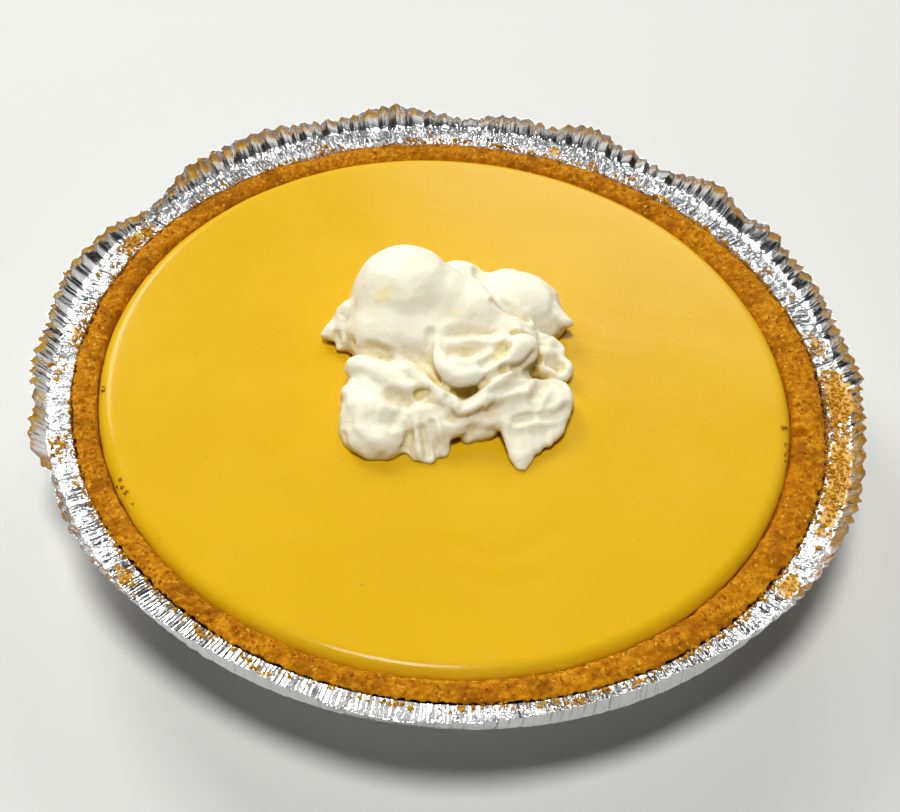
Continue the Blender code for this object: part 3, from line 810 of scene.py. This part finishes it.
def measure_painted_shade_and_glow(obj):
    bm = bmesh.new()
    bm.from_mesh(obj.data)
    skin = BVHTree.FromBMesh(bm)
    bm.free()
    rays = even_directions(2 * SHELTER_RAYS)
    shares = []
    painted_glow_values = []
    for point in obj.data.vertices:
        start = point.co + point.normal * 0.2 * MM
        met = 0
        for ray in rays:
            if ray.dot(point.normal) > 0.15:
                on_cream = skin.ray_cast(start, ray, SHELTER_REACH)[0]
                on_filling = ray.z < 0.0 and start.z + ray.z * SHELTER_REACH < FILLING_TOP
                met += bool(on_cream) or on_filling
        shares.append(met / SHELTER_RAYS)
        painted_glow_values.append(painted_glow_at(point.co))
    # painted crease shade and painted warm glow, stored at each vertex for the finish
    for name, values in (("painted_crease_shade", shares), ("painted_warm_glow", painted_glow_values)):
        layer = obj.data.attributes.new(name, "FLOAT", "POINT")
        layer.data.foreach_set("value", values)
    print("shelter from", round(min(shares), 2), "to", round(max(shares), 2))


measure_painted_shade_and_glow(cream)

# %% [markdown]
# ## Loose crumbs
# Crumbs break off the crust and lie on the foil, thick on the right and in patches
# elsewhere. Particles could scatter them, but they vanish when the model is exported,
# so all crumbs are joined in one mesh. A crumb is a small ball with its points pushed
# in and out, dropped on the foil or the crust by a ray from above.

# %% Scatter the crumbs
CRUMB_PATCHES = (
    # angle, radius in mm, spread in degrees and in mm, crumbs, largest size in mm
    (-12, 108.0, 13, 3.6, 560, 1.3), (3, 108.5, 6, 3.4, 280, 1.4), (14, 108.0, 3, 2.6, 60, 1.2),
    (-34, 108.0, 2.5, 2.2, 60, 1.3), (25, 109.0, 1.5, 1.6, 14, 1.0), (31, 109.0, 1.5, 1.6, 14, 1.0),
    (-43, 105.5, 1.2, 1.0, 12, 1.2), (-62, 105.5, 2.5, 0.8, 16, 1.0), (-70, 106.0, 3.5, 1.0, 26, 1.2),
    (-112, 107.0, 2.5, 1.4, 24, 1.2), (-121, 105.5, 1.5, 1.0, 12, 1.2), (-135, 107.5, 3.0, 1.8, 44, 1.4),
    (-160, 108.5, 3.5, 2.0, 50, 1.4), (-174, 108.5, 2.5, 2.2, 30, 1.3), (-152, 106.0, 2.0, 1.0, 14, 1.0),
    (156, 108.0, 4.5, 3.0, 120, 1.5), (162, 107.0, 3.0, 2.0, 24, 1.1), (172, 106.5, 2.5, 1.6, 24, 1.2),
    (178, 106.5, 3.5, 2.0, 60, 1.3), (137, 107.5, 2.0, 1.6, 10, 1.0), (127, 107.5, 1.5, 1.6, 8, 1.0),
    (117, 107.0, 1.5, 2.4, 22, 1.1), (101, 105.5, 2.0, 1.0, 14, 1.2), (98, 108.0, 1.2, 2.0, 10, 1.0),
    (76, 108.0, 1.2, 2.2, 22, 1.2), (69, 107.0, 1.2, 2.0, 14, 1.2), (61, 107.0, 1.2, 2.0, 12, 1.1),
    (55, 105.8, 1.5, 1.0, 12, 1.1), (92, 106.0, 2.0, 1.2, 10, 1.0),
)
STRAY_CRUMBS = 1100
STRAY_LINE = (104.7, 0.5, 0.9, 1.3)
CRUMB_SEED, GRAIN_SEED = 5, 23
DROP_FROM = 0.05
LOWEST_FOIL = 28.0 * MM
BATCH = 60


def drop_crumb(bm, draw, spot, size):
    """A lumpy crumb of a few dozen faces, half sunk at a spot."""
    made = bmesh.ops.create_icosphere(bm, subdivisions=1, radius=0.5 * size)["verts"]
    stretch = Vector((draw.uniform(0.7, 1.3), draw.uniform(0.7, 1.3), draw.uniform(0.5, 0.9)))
    turn = Euler([draw.uniform(0, math.tau) for _ in range(3)]).to_matrix()
    for point in made:
        place = point.co * draw.uniform(0.72, 1.25)
        place = Vector(a * b for a, b in zip(place, stretch))
        point.co = turn @ place + spot


def heap_of_crumbs(draw, places):
    """Drop a crumb at each (spot, size), in small batches."""
    batches = []
    for start in range(0, len(places), BATCH):
        bm = bmesh.new()
        for spot, size in places[start:start + BATCH]:
            drop_crumb(bm, draw, spot, size)
        batches.append(bm)
    return gathered(batches)


def above(turn, out):
    """A place high over the pie, to drop a ray from."""
    return Vector((math.cos(turn) * out, math.sin(turn) * out, DROP_FROM))


def crumbs_on_foil():
    places = []
    draw = random.Random(CRUMB_SEED)
    lines = [(*patch[:4], patch[5]) for patch in CRUMB_PATCHES for _ in range(patch[4])]
    lines += [(draw.uniform(-180, 180), *STRAY_LINE) for _ in range(STRAY_CRUMBS)]
    for angle, radius, spread, reach, largest in lines:
        turn = math.radians(angle + draw.gauss(0.0, 0.5) * spread)
        out = (radius + draw.gauss(0.0, 0.55) * reach) * MM
        size = largest * draw.uniform(0.25, 1.0) ** 1.6 * MM
        hit = foil_skin.ray_cast(above(turn, out), DOWN)[0]
        if hit and hit.z > LOWEST_FOIL:
            places.append((hit + Vector((0, 0, 0.22 * size)), size))
    return heap_of_crumbs(draw, places)


foil_crumbs = piece("crumbs_on_the_foil", crumbs_on_foil())

# %% [markdown]
# The crust itself is not all pressed: many grains lie loose on its crown, and a few
# have rolled on the edge of the filling. They could be part of the crust's relief, but
# separate grains have the undercut edges that catch the light.

# %% Loose grains on the crust
CROWN_GRAINS = 900
CROWN_MIDDLE, CROWN_SPREAD = 100.2, 1.9
LOWEST_CROWN = 28.2 * MM
EDGE_GRAINS = ((-170, 94.5, 1.0, 0.6, 7, 1.6), (-149, 94.5, 3.0, 0.8, 10, 1.2),
               (-4.5, 94.0, 0.6, 0.8, 6, 1.4), (-10, 95.0, 3.0, 0.6, 8, 0.9),
               (70, 95.0, 4.0, 0.6, 5, 1.0), (160, 95.0, 6.0, 0.6, 8, 0.9))


def grains_on_crust():
    places = []
    draw = random.Random(GRAIN_SEED)
    for _ in range(CROWN_GRAINS):
        turn = draw.uniform(0, math.tau)
        out = (CROWN_MIDDLE + draw.gauss(0.0, CROWN_SPREAD)) * MM
        out += oval(math.degrees(turn)) * 0.5
        size = draw.uniform(0.25, 1.0) ** 1.5 * MM
        hit = crust_skin.ray_cast(above(turn, out) + 0.5 * FILLING_CENTRE, DOWN)[0]
        if hit and hit.z > LOWEST_CROWN:
            places.append((hit + Vector((0, 0, 0.1 * size)), size))
    for angle, radius, spread, reach, count, largest in EDGE_GRAINS:
        for _ in range(count):
            turn = math.radians(angle + draw.gauss(0.0, 0.5) * spread)
            out = (radius + draw.gauss(0.0, 0.5) * reach) * MM
            size = largest * draw.uniform(0.4, 1.0) * MM
            hit = filling_skin.ray_cast(above(turn, out) + FILLING_CENTRE, DOWN)[0]
            if hit:
                places.append((hit + Vector((0, 0, 0.2 * size)), size))
    return heap_of_crumbs(draw, places)


crust_grains = piece("grains_on_the_crust", grains_on_crust())

# %% [markdown]
# ## Smears on the foil
# Where crumbs lie thick, the butter in them leaves an orange film on the flange and the
# band, but not on the wall below. It could be painted on an image, but a number at each
# vertex needs none: from 0 to 1, it says how much film there is. A second number says
# how crinkled the foil is: much on the flange, and little on the band and at the front,
# where the foil is smoother. The foil's finish reads both.

# %% Mark the smears
SMEAR_FROM = 104.9
THICK_FROM = 14.0
SMOOTH_FOIL = (-95.0, 32.0)


def mark_smears(obj):
    layer = obj.data.attributes.new("smear", "FLOAT", "POINT")
    rough = obj.data.attributes.new("crinkled", "FLOAT", "POINT")
    values = []
    crinkled = []
    for point in obj.data.vertices:
        angle = math.degrees(math.atan2(point.co.y, point.co.x))
        radius = math.hypot(point.co.x, point.co.y) / MM
        amount = 0.0
        if radius - oval(angle) / MM > SMEAR_FROM:
            for centre, middle, spread, reach, count, _ in CRUMB_PATCHES:
                away = abs((angle - centre + 180.0) % 360.0 - 180.0) / (spread + 0.5)
                off = (radius - middle) / (reach + 0.8)
                thick = min(1.0, count / (THICK_FROM * spread * reach))
                amount = max(amount, thick * math.exp(-0.7 * (away * away + off * off)))
        values.append(amount)
        on_band = smooth_step((radius - FLANGE[0] / MM) / 0.8)
        crinkled.append((1.0 - 0.8 * bump(angle, *SMOOTH_FOIL)) * (1.0 - 0.85 * on_band))
    layer.data.foreach_set("value", values)
    rough.data.foreach_set("value", crinkled)


mark_smears(foil_tin)

# %% [markdown]
# ## The foil's finish
# Bare aluminium foil is a bright metal with a fine rolled grain. Its sparkle comes
# from the folds, so the shader only adds the smallest dents by bump and lets the
# roughness vary. The dents are drawn along the radius, as the press draws them, by
# coordinates that are stretched round the tin. Over the smears the metal turns into a
# dull orange film.

# %% Foil finish
STREAK_STRETCH = 0.35
ALUMINIUM_GREY, ALUMINIUM_BRIGHT = (0.62, 0.63, 0.64), (0.80, 0.80, 0.79)
BUTTER_FILM, BUTTER_FILM_PALE = (0.70, 0.38, 0.05), (0.92, 0.66, 0.20)


def streaks_of(tree, place):
    """Coordinates in which a pattern comes out drawn along the radius of the tin."""
    parts = add(tree, "SeparateXYZ", {"Vector": place}).outputs
    flat = add(tree, "CombineXYZ", {"X": parts["X"], "Y": parts["Y"]}).outputs["Vector"]
    round_tin = add(tree, "VectorMath", {0: flat}, operation="NORMALIZE").outputs["Vector"]
    on_ring = add(tree, "VectorMath", {0: round_tin, "Scale": FLANGE[0]}, operation="SCALE")
    out = add(tree, "VectorMath", {0: place}, operation="LENGTH").outputs["Value"]
    along = add(tree, "CombineXYZ", {"Z": math_of(tree, "MULTIPLY", out, STREAK_STRETCH)})
    return add(tree, "VectorMath", {0: on_ring.outputs["Vector"], 1: along.outputs["Vector"]},
               operation="ADD").outputs["Vector"]


def foil_finish():
    material, tree, shader = new_finish("crinkled_aluminium")
    place = place_of(tree)
    shader.inputs["Metallic"].default_value = 1.0
    dents = grain_of(tree, streaks_of(tree, place), 820.0, 2.0, 0.5, 0.9)
    dents = math_of(tree, "MULTIPLY", dents, attribute(tree, "crinkled"))
    fine = grain_of(tree, place, 1900.0, 2.0)
    tone = blend_colour(tree, grain_of(tree, place, 90.0), ALUMINIUM_GREY, ALUMINIUM_BRIGHT)
    tree.links.new(tone, shader.inputs["Base Color"])
    tree.links.new(span(tree, fine, 0.3, 0.7, 0.12, 0.24), shader.inputs["Roughness"])
    coarse = relief(tree, dents, 0.0011, 0.9)
    tree.links.new(relief(tree, fine, 0.0002, 0.35, coarse), shader.inputs["Normal"])
    film = add(tree, "BsdfPrincipled", {"Roughness": 0.55, "Specular IOR Level": 0.4})
    crumbly = grain_of(tree, place, 700.0, 4.0, 0.7)
    tree.links.new(blend_colour(tree, crumbly, BUTTER_FILM, BUTTER_FILM_PALE),
                   film.inputs["Base Color"])
    tree.links.new(relief(tree, crumbly, 0.0008, 0.7), film.inputs["Normal"])
    patchy = math_of(tree, "ADD", attribute(tree, "smear"),
                     span(tree, grain_of(tree, place, 330.0, 3.0, 0.6), 0.0, 1.0, -0.55, 0.45))
    mix = add(tree, "MixShader", {"Fac": span(tree, patchy, 0.42, 0.60)})
    tree.links.new(shader.outputs[0], mix.inputs[1])
    tree.links.new(film.outputs[0], mix.inputs[2])
    tree.links.new(mix.outputs[0], tree.nodes["Material Output"].inputs["Surface"])
    return material


foil_tin.data.materials.append(foil_finish())

# %% [markdown]
# ## The crumb finish
# Graham crumb is golden brown with darker toasted grains and paler buttery ones. A
# picture of biscuit could be laid on it, but its grains would be cut off at the edges
# of the relief. One function finishes the crust and, in butterier tones, the crumbs on the foil:
# a slow change of tone round the ring, browned patches, a cell pattern at the size of a
# grain, and painted shade in the pits, where the fine relief is low.

# %% Crumb finish
GRAHAM_TONES = ((0.52, 0.172, 0.002), (0.67, 0.260, 0.003), (0.84, 0.385, 0.011))
BUTTERY_TONES = ((0.64, 0.27, 0.008), (0.80, 0.37, 0.015), (0.90, 0.50, 0.05))
# the last tone is painted shade for the low spots of the fine relief
TOASTED, BUTTERY, PIT_SHADE = (0.40, 0.13, 0.002), (0.84, 0.46, 0.04), (0.28, 0.085, 0.002)
BROWNED_SHARE = 0.78


def crumb_finish(name, dark, golden, light):
    material, tree, shader = new_finish(name)
    place = place_of(tree)
    slow = grain_of(tree, place, 60.0, 3.0)
    baked = blend_colour(tree, span(tree, slow, 0.35, 0.65), golden, light)
    medium = grain_of(tree, place, 480.0, 4.0, 0.65)
    toned = blend_colour(tree, span(tree, medium, 0.38, 0.62), dark, baked)
    browned = tuple(BROWNED_SHARE * part for part in dark)
    patches = grain_of(tree, place, 150.0, 4.0, 0.6)
    toned = blend_colour(tree, span(tree, patches, 0.36, 0.50), browned, toned)
    cells = add(tree, "TexVoronoi", {"Vector": place, "Scale": 1500.0})
    grain_tone = add(tree, "SeparateColor", {"Color": cells.outputs["Color"]}).outputs["Red"]
    toasted = blend_colour(tree, span(tree, grain_tone, 0.90, 0.97), toned, TOASTED)
    pale = blend_colour(tree, span(tree, grain_tone, 0.05, 0.01), toasted, BUTTERY)
    fine = grain_of(tree, place, 2200.0, 5.0, 0.65)
    # painted shade where the fine relief, which also drives the bump, is low
    painted_pit_shade = span(tree, fine, 0.27, 0.36)
    tree.links.new(blend_colour(tree, painted_pit_shade, PIT_SHADE, pale), shader.inputs["Base Color"])
    tree.links.new(span(tree, fine, 0.3, 0.7, 0.8, 0.6), shader.inputs["Roughness"])
    shader.inputs["Specular IOR Level"].default_value = 0.06
    coarse = relief(tree, medium, 0.0012, 0.7)
    tree.links.new(relief(tree, fine, 0.0006, 0.8, coarse), shader.inputs["Normal"])
    return material


baked_crumb = crumb_finish("graham_crumb", *GRAHAM_TONES)
crust.data.materials.append(baked_crumb)
crust_grains.data.materials.append(baked_crumb)
foil_crumbs.data.materials.append(crumb_finish("buttery_crumb", *BUTTERY_TONES))

# %% [markdown]
# ## The filling's finish
# A baked lime filling is smooth and satin, with light sinking a little way in. A plain
# yellow would look like paint, so faint clouds shift it a little, and a few specks show
# where bubbles broke.

# %% Filling finish
CUSTARD_YELLOW, CUSTARD_PALE = (0.75, 0.44, 0.007), (0.78, 0.465, 0.010)
BUBBLE_SPECK = (0.66, 0.36, 0.02)


def filling_finish():
    material, tree, shader = new_finish("lime_custard_satin")
    place = place_of(tree)
    clouds = grain_of(tree, place, 28.0, 4.0, 0.6)
    tone = blend_colour(tree, span(tree, clouds, 0.35, 0.65), CUSTARD_YELLOW, CUSTARD_PALE)
    specks = grain_of(tree, place, 420.0, 2.0)
    tree.links.new(blend_colour(tree, span(tree, specks, 0.72, 0.78), tone, BUBBLE_SPECK),
                   shader.inputs["Base Color"])
    tree.links.new(span(tree, clouds, 0.3, 0.7, 0.17, 0.24), shader.inputs["Roughness"])
    shader.inputs["Subsurface Weight"].default_value = 0.25
    shader.inputs["Subsurface Radius"].default_value = (1.0, 0.55, 0.1)
    shader.inputs["Subsurface Scale"].default_value = 0.003
    shader.inputs["Specular IOR Level"].default_value = 0.14
    coarse = relief(tree, grain_of(tree, place, 120.0, 3.0), 0.0008, 0.12)
    tree.links.new(relief(tree, specks, 0.0003, 0.15, coarse), shader.inputs["Normal"])
    return material


filling.data.materials.append(filling_finish())

# %% [markdown]
# ## The cream's finish
# Whipped cream is a warm white foam. Light scatters inside it, so folds glow instead
# of going grey, and its skin is matt and finely broken. Scattering alone stays too
# white in the creases, so shade is painted into them, darker and yellower, from the
# measured share of rays, and two spots get a painted warm glow.

# %% Cream finish
CREAM_TONE, CREAM_PALE = (0.965, 0.905, 0.70), (0.975, 0.925, 0.74)
# painted colours: a warm glow for two spots, and the shade in the creases
CREAM_PAINTED_GLOW, CREAM_PAINTED_SHADE = (0.98, 0.84, 0.42), (0.68, 0.54, 0.17)


def cream_finish():
    material, tree, shader = new_finish("whipped_cream_foam")
    place = place_of(tree)
    airy = grain_of(tree, place, 1300.0, 4.0, 0.6)
    slow = grain_of(tree, place, 70.0, 2.0)
    open_tone = blend_colour(tree, slow, CREAM_TONE, CREAM_PALE)
    # painted warm glow on two spots of the mound
    open_tone = blend_colour(tree, attribute(tree, "painted_warm_glow"), open_tone, CREAM_PAINTED_GLOW)
    # painted shade: a darker, yellower tone where many rays meet cream or filling
    crease_shade_mask = span(tree, attribute(tree, "painted_crease_shade"), 0.07, 0.58)
    tree.links.new(blend_colour(tree, crease_shade_mask, open_tone, CREAM_PAINTED_SHADE), shader.inputs["Base Color"])
    tree.links.new(span(tree, airy, 0.3, 0.7, 0.42, 0.58), shader.inputs["Roughness"])
    shader.inputs["Subsurface Weight"].default_value = 0.25
    shader.inputs["Subsurface Radius"].default_value = (1.0, 0.75, 0.35)
    shader.inputs["Subsurface Scale"].default_value = 0.0014
    shader.inputs["Specular IOR Level"].default_value = 0.35
    coarse = relief(tree, grain_of(tree, place, 330.0, 3.0), 0.0006, 0.25)
    tree.links.new(relief(tree, airy, 0.0002, 0.3, coarse), shader.inputs["Normal"])
    return material


cream.data.materials.append(cream_finish())

# %% [markdown]
# ## Floor, light and camera
# The pie stands on a pale table. A soft light overhead is the key, and two large ones
# behind it, like windows, draw the shadow to the front. Foil shows what stands around
# it, so the world has a far wall that is bright but shaded at its left, a bright near
# wall and dark sides. It is seen in reflections only, and lights nothing.

# %% Set the stage
TABLE_TONE = (0.76, 0.758, 0.725)


def make_floor():
    bm = bmesh.new()
    bmesh.ops.create_grid(bm, x_segments=1, y_segments=1, size=3.0)
    mesh = bpy.data.meshes.new("pale_table")
    bm.to_mesh(mesh)
    bm.free()
    floor = bpy.data.objects.new("pale_table", mesh)
    bpy.context.scene.collection.objects.link(floor)
    material, tree, shader = new_finish("pale_table")
    shader.inputs["Base Color"].default_value = (*TABLE_TONE, 1.0)
    shader.inputs["Roughness"].default_value = 0.7
    shader.inputs["Specular IOR Level"].default_value = 0.1
    mesh.materials.append(material)


def soft_light(name, place, aim, size, watts):
    lamp = bpy.data.lights.new(name, "AREA")
    lamp.shape = "DISK"
    lamp.size = size
    lamp.energy = watts
    obj = bpy.data.objects.new(name, lamp)
    obj.location = place
    obj.rotation_euler = (Vector(aim) - Vector(place)).to_track_quat("-Z", "Y").to_euler()
    bpy.context.scene.collection.objects.link(obj)


make_floor()
PIE_MIDDLE = (0.0, 0.0, 0.03)
soft_light("overhead", (-0.13, -0.25, 1.75), PIE_MIDDLE, 0.45, 22.0)
soft_light("window", (-1.1, 1.5, 1.3), PIE_MIDDLE, 0.9, 25.0)
soft_light("second_window", (0.3, 1.7, 1.1), PIE_MIDDLE, 0.9, 9.0)


NEAR_WALL, FAR_WALL, SIDE_WALL = 0.9, 0.85, 0.03


def studio_world():
    """A room with a bright far wall, shaded at its left, a bright near one and dark sides."""
    world = bpy.data.worlds.new("studio")
    world.use_nodes = True
    tree = world.node_tree
    direction = add(tree, "SeparateXYZ", {"Vector": add(tree, "TexCoord").outputs["Generated"]})
    behind = span(tree, direction.outputs["Y"], 0.2, 0.6, SIDE_WALL, FAR_WALL)
    left_shade = span(tree, direction.outputs["X"], -0.26, -0.12, 0.45, 1.0)
    behind = math_of(tree, "MULTIPLY", behind, left_shade)
    ahead = span(tree, direction.outputs["Y"], -0.5, -0.9, 0.0, NEAR_WALL)
    tree.links.new(math_of(tree, "ADD", behind, ahead),
                   tree.nodes["Background"].inputs["Strength"])
    tree.nodes["Background"].inputs["Color"].default_value = (1.0, 1.0, 0.985, 1.0)
    world.cycles_visibility.diffuse = False
    bpy.context.scene.world = world


studio_world()
bpy.context.scene.view_settings.view_transform = "Standard"

# %% [markdown]
# ## The camera
# The camera looks down from the front, at the viewing angle of the picture. It is aimed
# by a direction and rolled a little, which a quaternion holds without any order of turns.

# %% Aim the camera
CAMERA_PLACE = Vector((-0.0015, -0.284355, 0.338599))
CAMERA_AIM = Vector((-0.000325, -0.010382, 0.0295))
CAMERA_ROLL = 5.498
FOCAL_LENGTH = 59.976
lens = bpy.data.cameras.new("camera")
lens.lens = FOCAL_LENGTH
lens.sensor_width = 36.0
lens.clip_start = 0.01
camera = bpy.data.objects.new("camera", lens)
camera.rotation_mode = "QUATERNION"
camera.location = CAMERA_PLACE
level = (CAMERA_AIM - CAMERA_PLACE).to_track_quat("-Z", "Y")
camera.rotation_quaternion = level @ Quaternion((0, 0, 1), math.radians(CAMERA_ROLL))
bpy.context.scene.collection.objects.link(camera)
bpy.context.scene.camera = camera
